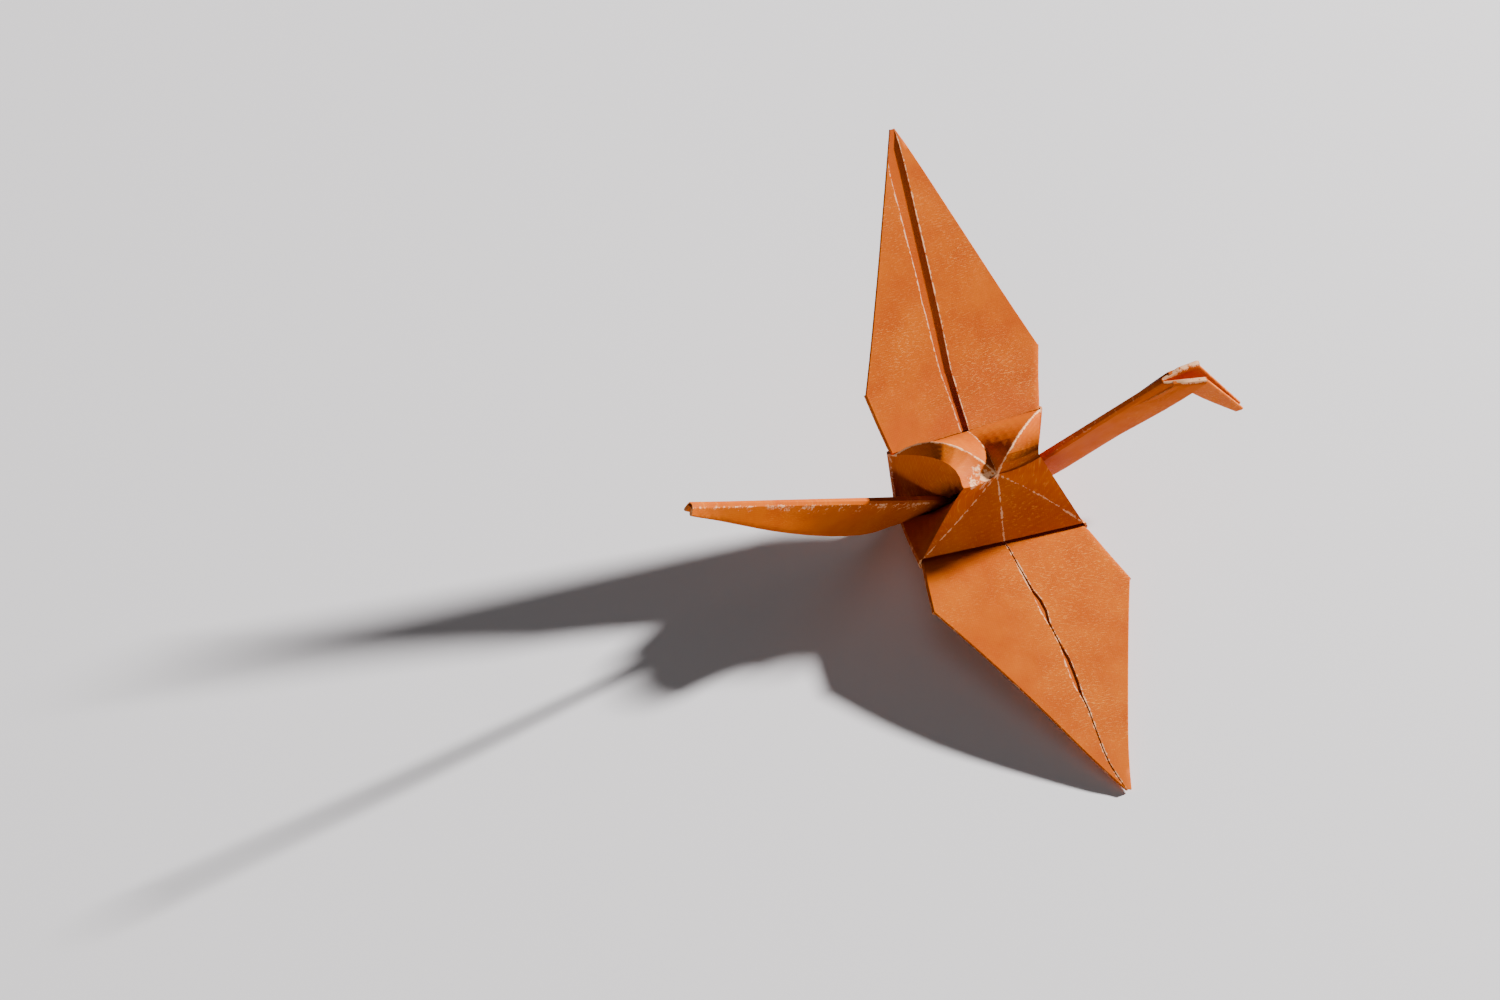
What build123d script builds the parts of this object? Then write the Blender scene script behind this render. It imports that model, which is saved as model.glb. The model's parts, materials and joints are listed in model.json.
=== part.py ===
from build123d import *
import os
from collections import Counter, defaultdict, deque
import numpy as np

# Origami crane folded from one square sheet, opened so that it stands on its body's lower corners and on the
# near wing's tip. Millimetres. Neck towards +X, tail towards -X, near wing towards -Y, far wing towards +Y.

# The sheet
HALF = 37.5              # half the side of the flat square sheet (75 x 75 mm)
THICK = 0.08             # thickness of the paper
G = 0.11                 # distance between the middles of two layers pressed together
LOOSE = 0.176            # the same between the looser inner layers of the wings
WALL_GAP = 0.45          # opening between the body's wall and the wing's layers at the wing fold
SINK = 1.2               # how far the low corners of the body are pressed up by the surface it stands on

# Crease pattern: distances from the folded base's cross line along each wing, and its slanting edge
SLOPE = 0.19891          # half width of the folded point per mm of its length (tangent of 11.25 degrees)
YR = -0.076 * HALF       # roots of tail and neck
YJ = 0.0
YM = 0.090 * HALF
YK = 0.1796 * HALF       # wing fold
YN = YK + 0.9
YF = 0.2653 * HALF
YE = 0.35116 * HALF      # widest line of the wing

# Places of the main points
HUMP_TOP = (0.62, 0.45, 10.9)
TAIL_ROOT, NECK_ROOT = (-0.9, 5.2, 3.1), (1.4, 5.2, 2.7)
TAIL_TIP, HEAD_TOP, BEAK_TIP = (-32.6, -2.3, 21.6), (18.75, 1.53, 16.6), (29.35, 3.9, 6.5)

# Rows of points along wing, tail, beak and neck, and steps across the hump's facets
WING_ROWS = [15.5, 18.0, 20.5, 22.5, 24.5, 26.5, 29.0, 31.5, 34.5, 37.0]
TAIL_ROWS = [0.3, 2.0, 4.5, 8, 12, 16, 20, 24, 28, 32.5]
BEAK_ROWS = [0.06, 0.3, 0.55, 0.78, 1.0]
NECK_ROWS = [0.0, 0.08, 0.2, 0.36, 0.55, 0.75, 0.9, 1.0]
FAN = 5

# Bend of the two wings (near n, far f): height of their arch and sideways drift along the wing, tilt across the
# wing per mm of width, shift of the wide corner on the neck's side, and added reach of the tip
BEND_AT = [YK, YK + 0.9, 9.0, 11.0, YE, 15.5, 17.5, 19.5, 23.0, 26.0, 29.0, 32.0, 35.0, HALF]
BOW = {"n": [0.0, -0.26, -0.34, -0.42, -0.54, -0.70, -0.82, -0.90, -0.94, -0.85, -0.68, -0.45, -0.20, 0.0],
       "f": [0.0, 0.10, 0.34, 0.56, 0.68, 0.68, 0.60, 0.48, 0.30, 0.14, 0.04, -0.02, -0.02, 0.0]}
DRIFT = {"n": [0.0, -0.05, -0.12, -0.18, -0.20, -0.20, -0.20, -0.20, -0.20, -0.20, -0.22, -0.24, -0.16, 0.0],
         "f": [0.0, 0.02, 0.06, 0.12, 0.20, 0.24, 0.24, 0.22, 0.20, 0.16, 0.12, 0.10, 0.06, 0.0]}
LEAN = {"n": (0.0, 0.020, -0.105), "f": (-0.02, 0.150, -0.137)}
CORNER = {"n": (0.55, 1.35), "f": (0.45, 0.0)}
REACH = {"n": 0.0, "f": 1.1}


# The two closed seams down the middle of each wing: sideways places xl, xr at the distances yl, yr, and the heights
# of the flaps' raised edges
SEAM = {
    "n": dict(
        yl=[0, 4, 6.7, 8.8, 11, 12.7, 13.2, 14.5, 16.0, 17.5, 19.0, 20.5, 22, 23.5, 25.0, 26.0, 26.5, 28, 31, 33.5, 37],
        xl=[.25, .3, .1, .33, .28, .3, .3, .24, .17, .2, .3, .2, .0, -.2, -.32, -.3, -.2, -.1, -.36, -.62, -.3],
        yr=[0, 4, 6.7, 8.8, 11, 12.7, 13.2, 14.5, 16.0, 17.5, 19.0, 20.5, 22, 23.5, 25, 26.5, 28, 29.5, 31, 32.5, 33.5, 37],
        xr=[.30, .36, .16, .39, .34, .38, .55, .80, .78, .45, .36, .42, .52, .40, .25, .0, -.02, -.18, -.28, -.42, -.54, -.2],
        hl=0.07, hr=0.13),
    "f": dict(
        yl=[0, 4, 6.9, 9.7, 11.4, 13.3, 16.6, 18.7, 20.8, 22.4, 25.8, 29.4, 31.2, 32.75, 37],
        xl=[-.4, -.5, -.58, -.76, -1.05, -1.25, -1.38, -1.35, -1.5, -1.38, -1.5, -1.52, -1.58, -1.6, -1.6],
        yr=[0, 6, 8.9, 11, 13, 15, 17, 19, 22, 25, 29, 33, 37],
        xr=[.3, .30, .24, .06, -.05, -.03, .06, .1, .12, .14, .2, .28, .26],
        hl=0.12, hr=0.24),
}


def unit(v):
    v = np.array(v, float)
    return v / np.linalg.norm(v)


def lerp(a, b, t):
    return np.array(a, float) + (np.array(b, float) - np.array(a, float)) * t


def smooth(t):
    t = min(max(t, 0.0), 1.0)
    return t * t * (3 - 2 * t)


def narrow_x(y):
    return SLOPE * (y + HALF)


def wing_x(y):
    return 0.41421 * (HALF - y)


class Sheet:
    """Middle surface of the folded sheet: points and triangles."""

    def __init__(self):
        self.v, self.f = [], []

    def add(self, p):
        self.v.append(np.array(p, float))
        return len(self.v) - 1

    def tri(self, a, b, c):
        if len({a, b, c}) == 3:
            self.f.append((a, b, c))

    def quad(self, a, b, c, d):
        self.tri(a, b, c)
        self.tri(a, c, d)

    def grid(self, rows):
        """Facets between neighbouring rows of equal length."""
        for r0, r1 in zip(rows[:-1], rows[1:]):
            for j in range(len(r0) - 1):
                self.quad(r0[j], r1[j], r1[j + 1], r0[j + 1])

    def zipper(self, a, b):
        """Triangles between two lines of any number of points."""
        i = j = 0
        na, nb = len(a) - 1, len(b) - 1
        while i < na or j < nb:
            if j == nb or (i < na and (i + 1) / na <= (j + 1) / nb):
                self.tri(a[i], a[i + 1], b[j])
                i += 1
            else:
                self.tri(a[i], b[j + 1], b[j])
                j += 1

    def split(self, a, b, v):
        """Put the point v on the edge a-b of the triangles made so far."""
        out = []
        for f in self.f:
            for i in range(3):
                if {f[i], f[(i + 1) % 3]} == {a, b}:
                    out += [(f[i], v, f[(i + 2) % 3]), (v, f[(i + 1) % 3], f[(i + 2) % 3])]
                    break
            else:
                out.append(f)
        self.f = out

    def strip(self, la, lb, outs, n=3):
        """Rounded fold from the line la to the line lb, bulging outwards by outs."""
        rows = [list(la)]
        for k in range(1, n):
            th = np.pi * k / n
            row = []
            for a, b, o in zip(la, lb, outs):
                p = self.v[a] + (self.v[b] - self.v[a]) * (1 - np.cos(th)) / 2 + np.array(o) * np.sin(th)
                row.append(self.add(p))
            rows.append(row)
        rows.append(list(lb))
        self.grid(rows)
        return rows


class Plate:
    """One side of the body: hinge line, wall, and the wing beyond the wing fold."""

    def __init__(self, key, o, ex, ey, ew, outward):
        self.key = key
        self.o = np.array(o, float)
        self.ex = unit(ex)
        ey = np.array(ey, float)
        self.ey = unit(ey - self.ex * (ey @ self.ex))
        ew = np.array(ew, float)
        self.ew = unit(ew - self.ex * (ew @ self.ex))
        n = np.cross(self.ex, self.ey)
        self.n = n if n @ np.array(outward) > 0 else -n
        c = self.ey @ self.ew
        sn = np.cross(self.ey, self.ew) @ self.ex
        self.nw = unit(self.n * c + np.cross(self.ex, self.n) * sn)
        b = unit(self.n + self.nw)
        self.bis = b / (b @ self.n)

    def at(self, x, y, z, outer=True):
        k = min(max(y / YK, 0), 1)
        if outer:
            z = z + WALL_GAP * k
        base = self.o + x * self.ex + x * k * np.array(LEAN[self.key])
        if outer and abs(y - YK) < 1e-9:
            return base + YK * self.ey + z * self.bis
        if y < YK or not outer:
            return base + y * self.ey + z * self.n
        base = base + np.interp(y, BEND_AT, DRIFT[self.key]) * self.ex
        c = min(max(x / 10.08, 0), 1) * np.interp(y, [YK, YE, HALF], [0, 1, 0])
        base = base + c * (CORNER[self.key][0] * self.ex + CORNER[self.key][1] * self.ew)
        base = base + REACH[self.key] * smooth((y - YE) / (HALF - YE)) * self.ew
        return base + YK * self.ey + (y - YK) * self.ew + (z + np.interp(y, BEND_AT, BOW[self.key])) * self.nw

    def put(self, m, x, y, z, outer=True):
        return m.add(self.at(x, y, z, outer))


def folded_sheet():
    """The crane as one pressed and opened sheet, its folds joined by narrow rounded strips."""
    m = Sheet()
    near = Plate("n", (0.52, 3.78, 1.86), (1, 0, 0), (0, -0.930, 0.367), (0.009, -0.993, -0.112), (0, -0.3, -0.9))
    far = Plate("f", (0.90, 7.39, 2.65), (1, 0.01, 0), (0, 0.105, 0.994), (-0.010, 0.682, 0.731), (0, 1, 0))
    plates = dict(n=near, f=far)
    O = np.array(HUMP_TOP)
    ridge_mid = dict(tf=(-3.72, 4.17, 13.3), nf=(3.79, 2.82, 12.9), nn=(4.96, -1.03, 7.65), tn=(-3.84, -1.03, 7.65))
    vmid = dict(f=(0.7, 4.0, 11.3), n=(0.6, -1.03, 7.65))
    V = dict(t=np.array((-3.77, -1.1, 12.3)), n=np.array((4.74, -0.2, 12.7)))
    rim_mid = dict(tf=(-4.6, 2.2, 12.9), tn=(-5.3, -1.2, 8.9), nf=(6.1, 2.9, 12.3), nn=(7.05, -1.2, 7.9))
    Q = dict(t=np.array(TAIL_ROOT), n=np.array(NECK_ROOT))
    tip = dict(t=np.array(TAIL_TIP), n=np.array(HEAD_TOP))
    B = np.array(BEAK_TIP)
    view = unit((-.305, -.595, .744))
    sx = dict(t=-1, n=1)
    L = {}
    # legs: tail and neck
    legs = {}
    for l in "tn":
        R = (near.at(sx[l] * narrow_x(YR), YR, 0, False) + far.at(sx[l] * narrow_x(YR), YR, 0, False)) / 2
        legs[l] = dict(R=R, dir=unit(tip[l] - Q[l]))
    DR = HALF + YR
    WR = narrow_x(YR)

    def wmax(d):
        return SLOPE * d + 0.55 * (1 - d / DR)

    def frame(l, d):
        di = legs[l]["dir"]
        sp = Q[l] + (HALF - d) * di
        ewr = legs[l]["R"] - (Q[l] + (HALF - DR) * di)
        ewr = unit(ewr - di * (ewr @ di))
        ez = np.cross(di, ewr)
        if ez[1] > 0:
            ez = -ez
        if l == "t":
            tau = np.radians(36) * min(1, max(0, (DR - d) / 24.0))

            def rot(v, a):
                return v * np.cos(a) + np.cross(di, v) * np.sin(a) + di * (di @ v) * (1 - np.cos(a))
            a = tau if (rot(ez, 0.1) @ view) > (ez @ view) else -tau
            return sp, rot(ewr, a), rot(ez, a)
        evv = unit(B - tip["n"])
        evv = unit(evv - di * (evv @ di))
        t = smooth((DR - d) / 20.0)
        ew = unit(lerp(ewr, evv, t))
        ew = unit(ew - di * (ew @ di))
        ez = np.cross(di, ew)
        if ez[1] > 0:
            ez = -ez
        return sp, ew, ez

    # the head: the end of the neck is turned back through a slanting crease between the neck's two sides
    DH = HALF - np.linalg.norm(tip["n"] - Q["n"])
    dn_ = legs["n"]["dir"]
    _, we, ze = frame("n", DH)
    bd = unit(B - tip["n"])
    crease = unit(dn_ + bd)
    out_c = unit(dn_ - crease * (dn_ @ crease))
    cot = (dn_ @ crease) / (we @ crease)
    wa, wb = 0.55, SLOPE - 0.55 / DR
    LAY = ("G1", "G4", "F4", "F1")
    outer_z = dict(G1=3.5 * G, G4=2.5 * G, F4=1.5 * G, F1=0.5 * G)
    inner_z = dict(G1=0.5 * G, G4=1.5 * G, F4=2.5 * G, F1=3.5 * G)

    def straight(l, d, w, z):
        sp, ew, ez = frame(l, d)
        return sp + w * ew + z * ez

    def neck_row(kind, d0, lay, sg):
        """kind: beak, turn (part of the crease fold) or neck."""
        f = 0.3 + 0.7 * d0 / DH if d0 <= DH else max(0.0, 1 - (d0 - DH) / 7)
        w1 = (wa + wb * d0) / (1 + wb * cot * f)
        wi = 0.0 if lay == "G1" else min(0.12 + 0.38 * smooth(1 - abs(d0 - DH) / 9), 0.4 * w1)
        row = []
        for w in (w1, (w1 + wi) / 2, wi):
            d = d0 - w * cot * f
            if kind != "beak":
                a = smooth(1 - (d0 - DH) / 9)
                zn = outer_z[lay] + a * (4.2 * G * min(1.0, w / 0.5) + 0.50 * w / w1)
                pn = straight("n", d, w, sg * zn)
            if kind != "neck":
                zb = inner_z[lay] + 0.60 * w / w1 * (0.15 + 0.85 * d0 / DH)
                v = (DH - d) * dn_ + w * we
                v = 2 * (v @ crease) * crease - v
                pb = tip["n"] + v + sg * zb * ze
            if kind == "beak":
                row.append(pb)
            elif kind == "neck":
                row.append(pn)
            else:
                th = kind * np.pi
                bulge = 0.5 * np.linalg.norm(pn - pb) * min(1.0, 0.25 + w)
                row.append(lerp(pb, pn, (1 - np.cos(th)) / 2) + out_c * bulge * np.sin(th))
        return row

    win = 0.12
    rows_t = TAIL_ROWS
    rows_n = ([("beak", k * DH) for k in BEAK_ROWS] + [(1 / 3, DH), (2 / 3, DH)] +
              [("neck", DH + (32.6 - DH) * k) for k in NECK_ROWS])
    for l in "tn":
        for s in "nf":
            sg = 1 if s == "n" else -1
            for lay in LAY:
                wi = 0.0 if lay == "G1" else win
                rows = []
                if l == "t":
                    for d in rows_t:
                        w1 = SLOPE * d + 0.55 * (1 - d / DR)
                        lip = 0.20 * smooth(1 - (d - 0.3) / 4.5) if d < 5 else 0.0
                        rows.append([m.add(straight(l, d, w, sg * (outer_z[lay] + lip * w / w1)))
                                     for w in (w1, (w1 + wi) / 2, wi)])
                else:
                    for kind, d0 in rows_n:
                        rows.append([m.add(p_) for p_ in neck_row(kind, d0, lay, sg)])
                rows.append([m.add(straight(l, d, w, sg * outer_z[lay])) for d, w in
                             ((DR, WR), ((DR + HALF) / 2, (WR + wi) / 2), (HALF - 0.05, wi))])
                L["leg", l, s, lay] = rows
                m.grid(rows)
    for l in "tn":
        for s in "nf":
            g1, g4, f4, f1 = (L["leg", l, s, k] for k in ("G1", "G4", "F4", "F1"))
            outs = [unit(m.v[r[0]] - m.v[r[2]]) for r in g1]
            if l == "n":
                outs = [unit(o - ze * (o @ ze)) if i < len(BEAK_ROWS) + 5 else o for i, o in enumerate(outs)]
            m.strip([r[0] for r in g1], [r[0] for r in f1], [o * 1.5 * G for o in outs], 3)
            m.strip([r[0] for r in g4], [r[0] for r in f4], [o * 0.5 * G for o in outs], 3)
            m.strip([r[2] for r in f1], [r[2] for r in f4], [-o * 0.5 * G for o in outs], 3)
            L["out", l, s] = outs
        gn, gf = L["leg", l, "n", "G1"], L["leg", l, "f", "G1"]
        deep = [0.30] * len(gn) if l == "t" else [0.08] * len(BEAK_ROWS) + [0.15, 0.22] + [0.30] * (len(gn) - len(BEAK_ROWS) - 2)
        L["spine", l] = m.strip([r[2] for r in gn], [r[2] for r in gf], [-o * e for o, e in zip(L["out", l, "n"], deep)], 3)
    # body sides and wings
    z = dict(G1=0, G2=G, G3=2 * G, G4=3 * G, F4=4 * G, F3=5 * G, F2=5 * G + LOOSE, F1=5 * G + 2 * LOOSE)
    Ip = (0.30, 0.0824 * HALF)
    Ex, Ey = 0.26876 * HALF, YE

    def flap_edge(t):
        return (Ip[0] + (Ex - Ip[0]) * t, Ip[1] + (Ey - Ip[1]) * t)

    te = (YK - Ip[1]) / (Ey - Ip[1])
    e_low, e_mid, e_up = flap_edge(te), flap_edge(te / 2), flap_edge((1 + te) / 2)
    e_near = flap_edge(te + 0.09)
    ys = [YR, YJ, YM, YK, YN, YF, YE]
    for s in "nf":
        p = plates[s]
        sm = SEAM[s]

        def columns(y, w):
            xl, xr = np.interp(y, sm["yl"], sm["xl"]), np.interp(y, sm["yr"], sm["xr"])
            if xr - xl < 0.09:
                c = (xl + xr) / 2
                xl, xr = c - 0.045, c + 0.045
            k = smooth((y - YM) / (YK - YM))
            xs = [xl - 0.22, xl - 0.02, xl + 0.02, xr - 0.02, xr + 0.02, xr + 0.22]
            hs = [sm["hl"] * k, sm["hl"] * k, 0.0, 0.0, sm["hr"] * k, sm["hr"] * k]
            e = 0.97 * w
            xs = [min(max(x, -e + 0.02 * i * w / 6), e - 0.02 * (5 - i) * w / 6) for i, x in enumerate(xs)]
            fade = smooth((w - 0.15) / 0.9)
            hs = [h * fade for h in hs]
            left_open = -e < xl - 0.25
            hl = hs[0] if left_open else 0.0
            hs[0] = hs[1] = hl
            return [-w] + xs + [w], [hl] + hs + [hs[-1]]

        Kt = m.add(p.at(-narrow_x(YK), YK, 0.5 * G, False))
        Kn = m.add(p.at(narrow_x(YK), YK, 0.5 * G, False))
        L["K", "t", s], L["K", "n", s] = Kt, Kn
        wall = []
        for y in (YJ, YM):
            xs, _ = columns(y, narrow_x(y))
            wall.append([p.put(m, x, y, G, False) for x in xs])
        mid = m.add(p.at(0, YK, G, False))
        L["m", s] = mid
        m.grid(wall)
        L["wall", s] = wall
        top = []
        for y in (YJ, YM, YK, YN, YF, YE):
            xs, hs = columns(y, narrow_x(y))
            top.append([p.put(m, x, y, z["G3"] - h) for x, h in zip(xs, hs)])
        for y in WING_ROWS:
            xs, hs = columns(y, wing_x(y))
            top.append([p.put(m, x, y, z["G3"] - h) for x, h in zip(xs, hs)])
        m.grid(top)
        m.strip(wall[0], top[0], [-p.ey * 0.06] * 8, 3)
        for l in "tn":
            q = sx[l]
            wl = 0 if l == "t" else 7
            g4 = []
            for y, yi in zip([YR + 0.15] + ys[1:], (-0.022 * HALF, 0, YM, YK, YN, YF, YE)):
                g4.append([p.put(m, q * narrow_x(y), y, z["G4"]), p.put(m, q * 0.12, yi, z["G4"])])
            for y in WING_ROWS:
                g4.append([p.put(m, q * wing_x(y), y, z["G4"]), p.put(m, q * min(0.12, 0.5 * wing_x(y)), y, z["G4"])])
            m.grid(g4)

            def row(lay, pts):
                return [p.put(m, q * x, y, z[lay]) for x, y in pts]
            f4 = [row("F4", [(narrow_x(YR), YR), (Ip[0], -0.036 * HALF)]), row("F4", [(narrow_x(YJ), YJ), Ip]),
                  row("F4", [(narrow_x(YM), YM), e_mid]), row("F4", [(narrow_x(YK), YK), e_low]),
                  row("F4", [(narrow_x(YN), YN), e_near]), row("F4", [(narrow_x(YF), YF), e_up])]
            e4 = p.put(m, q * Ex, Ey, z["F4"])
            f4.append([e4, e4])
            m.grid(f4)
            f3 = [row("F3", [(narrow_x(YJ), YJ), Ip]), row("F3", [(narrow_x(YM), YM), e_mid]),
                  row("F3", [(narrow_x(YK), YK), e_low]),
                  row("F3", [(narrow_x(YN), YN), e_near]), row("F3", [(narrow_x(YF), YF), e_up])]
            e3 = p.put(m, q * Ex, Ey, z["F3"])
            f3.append([e3, e3])
            m.grid(f3)
            f2 = row("F2", [(narrow_x(YJ), YJ), (narrow_x(YM), YM), (narrow_x(YK), YK)])
            f2i = p.put(m, q * Ip[0], Ip[1], z["F2"])
            m.tri(f2[0], f2[1], f2i)
            m.tri(f2[1], f2[2], f2i)
            f1 = [row("F1", [(narrow_x(YR), YR - 0.25), (Ip[0], -0.055 * HALF)])]
            f1c = row("F1", [(narrow_x(YJ), YJ), (narrow_x(YM), YM), (narrow_x(YK), YK)])
            f1i = p.put(m, q * Ip[0], Ip[1], z["F1"])
            f1.append([f1c[0], f1i])
            m.grid(f1)
            m.tri(f1c[0], f1c[1], f1i)
            m.tri(f1c[1], f1c[2], f1i)
            g1c = [m.add(p.at(q * narrow_x(y), y, 0, False)) for y in (YR, YJ, YM)] + [L["K", l, s]]
            L["g1c", l, s] = g1c
            m.strip([r[0] for r in g4[:7]], [r[0] for r in f4[:7]], [q * p.ex * 0.055] * 7, 3)
            m.strip([r[wl] for r in top[:6]], [r[0] for r in f3], [q * p.ex * 0.19] * 6, 3)
            m.strip([wall[0][wl], wall[1][wl], L["K", l, s]], f2, [q * p.ex * 0.34] * 3, 3)
            m.strip(g1c, [f1[0][0]] + f1c, [q * p.ex * 0.52] * 4, 3)
            en = unit(q * p.ex + p.ew * 0.41421)
            m.strip([r[wl] for r in top[5:]], [r[0] for r in g4[6:]], [en * 0.055] * (len(WING_ROWS) + 1), 3)
            et, et2 = unit(-q * p.ex * 0.66 + p.ey * 0.75), unit(-q * p.ex * 0.66 + p.ew * 0.75)
            m.strip([r[1] for r in f3], [r[1] for r in f4[1:]],
                    [et * 0.055, et * 0.055, unit(et + et2) * 0.055, et2 * 0.055, et2 * 0.055, et2 * 0.055], 3)
            m.strip([f2[0], f2i], [f3[0][0], f3[0][1]], [-p.ey * 0.055] * 2, 3)
            kn = unit(q * p.ex * 0.38 + p.ey * 0.92)
            m.strip([f1c[2], f1i], [f2[2], f2i], [kn * 0.055] * 2, 3)
            m.strip([f1[0][1], f1i], [f4[0][1], f4[1][1]], [-q * p.ex * 0.165] * 2, 3)
            L["line", l, s, "G4"] = [g4[0][0], g4[0][1]]
            L["line", l, s, "F4"] = [f4[0][0], f4[0][1]]
            L["line", l, s, "F1"] = [f1[0][0], f1[0][1]]
    # hump: a ring of ridges round a dimple
    ov = m.add(O)
    N = FAN

    def lag(a, b, c, t):
        a, b, c = (np.array(k, float) for k in (a, b, c))
        return a * (1 - t) * (1 - 2 * t) + b * 4 * t * (1 - t) + c * t * (2 * t - 1)

    def fan(ra, rb, edge, puff=0.0):
        """Patch between two lines from the hump's middle, with its far edge on a curve."""
        prev = [ov]
        for i in range(1, N + 1):
            t = i / N
            a, b = ra[i - 1], rb[i - 1]
            cur = [a]
            for j in range(1, i):
                u = j / i
                e = edge(u) - lerp(m.v[ra[-1]], m.v[rb[-1]], u)
                p_ = lerp(m.v[a], m.v[b], u) + e * t * t + np.array((0, 0, puff)) * 4 * u * (1 - u) * t
                cur.append(m.add(p_))
            cur.append(b)
            for j in range(len(prev)):
                m.tri(prev[j], cur[j], cur[j + 1])
                if j + 1 < len(prev):
                    m.tri(prev[j], cur[j + 1], prev[j + 1])
            prev = cur
        return prev

    for l in "tn":
        for s in "nf":
            K = m.v[L["K", l, s]]
            L["ridge", l, s] = [m.add(lag(O, ridge_mid[l + s], K, i / N)) for i in range(1, N)] + [L["K", l, s]]
    for s in "nf":
        mm = m.v[L["m", s]]
        L["wv", s] = [m.add(lag(O, vmid[s], mm, i / N)) for i in range(1, N)] + [L["m", s]]
        for l in "tn":
            K = m.v[L["K", l, s]]
            L["walltop", l, s] = fan(L["ridge", l, s], L["wv", s], lambda u: lerp(K, mm, u), puff=0.12 if s == "f" else 0.0)
        wall = L["wall", s]
        m.zipper(L["walltop", "t", s] + L["walltop", "n", s][::-1][1:], wall[1])
    for l in "tn":
        cols = []
        for i in range(1, N + 1):
            t = i / N
            c = lerp(O, V[l], t) - np.array((0, 0, 0.35 * 4 * t * (1 - t)))
            wd = 0.05 + 0.17 * t
            cols.append([m.add(c + np.array((0, o, -0.03 * t if abs(o) < wd * 0.9 else 0))) for o in (-wd, -wd / 3, wd / 3, wd)])
        for j in range(3):
            m.tri(ov, cols[0][j], cols[0][j + 1])
        m.grid(cols)
        sp, ew, ez = frame(l, HALF)
        gn_, gf_, sp_ = L["leg", l, "n", "G1"][-1][2], L["leg", l, "f", "G1"][-1][2], L["spine", l]
        bq = [m.add(m.v[gn_] + ez * 0.13 - ew * 0.05), m.add(m.v[sp_[1][-1]] - ew * 0.14 + ez * 0.02),
              m.add(m.v[sp_[2][-1]] - ew * 0.14 - ez * 0.02), m.add(m.v[gf_] - ez * 0.13 - ew * 0.05)]
        v2 = cols[-1]
        vall = [v2] + [[m.add(lerp(m.v[v2[j]], m.v[bq[j]], t)) for j in range(4)] for t in (1 / 3, 2 / 3)] + [bq]
        m.grid(vall)
        L["bq", l] = bq
        for s, col in (("n", 0), ("f", 3)):
            K = m.v[L["K", l, s]]
            vv = m.v[v2[col]]
            rm = np.array(rim_mid[l + s], float)
            rim = fan(L["ridge", l, s], [c[col] for c in cols], lambda u: lag(K, rm, vv, u), puff=0.1)
            cr = L["g1c", l, s][::-1]
            ce = [vall[i][col] for i in range(4)]
            rows = [rim]
            for i in (1, 2):
                t = (1 - i / 3) ** 2
                r = [cr[i]]
                for j in range(1, N):
                    u = j / N
                    r.append(m.add(lerp(m.v[cr[i]], m.v[ce[i]], u) + (m.v[rim[j]] - lerp(K, vv, u)) * t))
                rows.append(r + [ce[i]])
            m.grid(rows)
            last = [cr[3], m.add(lerp(m.v[cr[3]], m.v[ce[3]], 0.5)), ce[3]]
            m.zipper(rows[-1], last)
            L["gb", l, s] = last
    # reverse folds at the roots of tail and neck
    for l in "tn":
        b = L["gb", l, "n"] + [L["bq", l][1], L["bq", l][2]] + L["gb", l, "f"][::-1]
        gn, gf, sp_ = L["leg", l, "n", "G1"][-1], L["leg", l, "f", "G1"][-1], L["spine", l]
        a = [gn[0], gn[1], gn[2], sp_[1][-1], sp_[2][-1], gf[2], gf[1], gf[0]]
        dn = unit(np.array((-sx[l] * 0.5, 0.15, -0.8)))
        m.strip(b, a, [dn * 0.12] * 3 + [dn * 0.08] * 2 + [dn * 0.12] * 3, 3)

        def perp(ia, ib, e):
            o = []
            for i, j in zip(ia, ib):
                sv = unit(m.v[j] - m.v[i])
                o.append(unit(dn - sv * (dn @ sv)) * e)
            return o
        for s in "nf":
            for lay, e in (("G4", 0.34), ("F4", 0.47), ("F1", 0.72)):
                bl = L["line", l, s, lay]
                lg = L["leg", l, s, lay][-1]
                mb = m.add(lerp(m.v[bl[0]], m.v[bl[1]], 0.5))
                m.split(bl[0], bl[1], mb)
                b3 = [bl[0], mb, bl[1]]
                m.strip(b3, [lg[0], lg[1], lg[2]], perp(b3, lg, e), 3)
    return np.array(m.v), np.array(m.f)


def seat(v):
    """The body's lower corners and the leg roots pressed up to the surface that the sheet stands on."""
    v = v.copy()
    low = -SINK
    k = np.clip((3.4 - v[:, 2]) / (3.4 - low), 0, 1.2) ** 2 * SINK
    w = np.clip((v[:, 1] + 2.6) / 4.0, 0, 1)
    v[:, 2] += k * w * w * (3 - 2 * w)
    return v


def wind_alike(faces):
    """Give all triangles of the connected sheet the same winding."""
    edges = defaultdict(list)
    for i, f in enumerate(faces):
        for j in range(3):
            edges[tuple(sorted((int(f[j]), int(f[(j + 1) % 3]))))].append(i)
    faces = [[int(k) for k in f] for f in faces]
    seen = {0}
    queue = deque([0])
    while queue:
        i = queue.popleft()
        f = faces[i]
        for j in range(3):
            a, b = f[j], f[(j + 1) % 3]
            for k in edges[tuple(sorted((a, b)))]:
                if k in seen:
                    continue
                g = faces[k]
                if any((g[n], g[(n + 1) % 3]) == (a, b) for n in range(3)):
                    faces[k] = g[::-1]
                seen.add(k)
                queue.append(k)
    assert len(seen) == len(faces)
    return np.array(faces)


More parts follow.
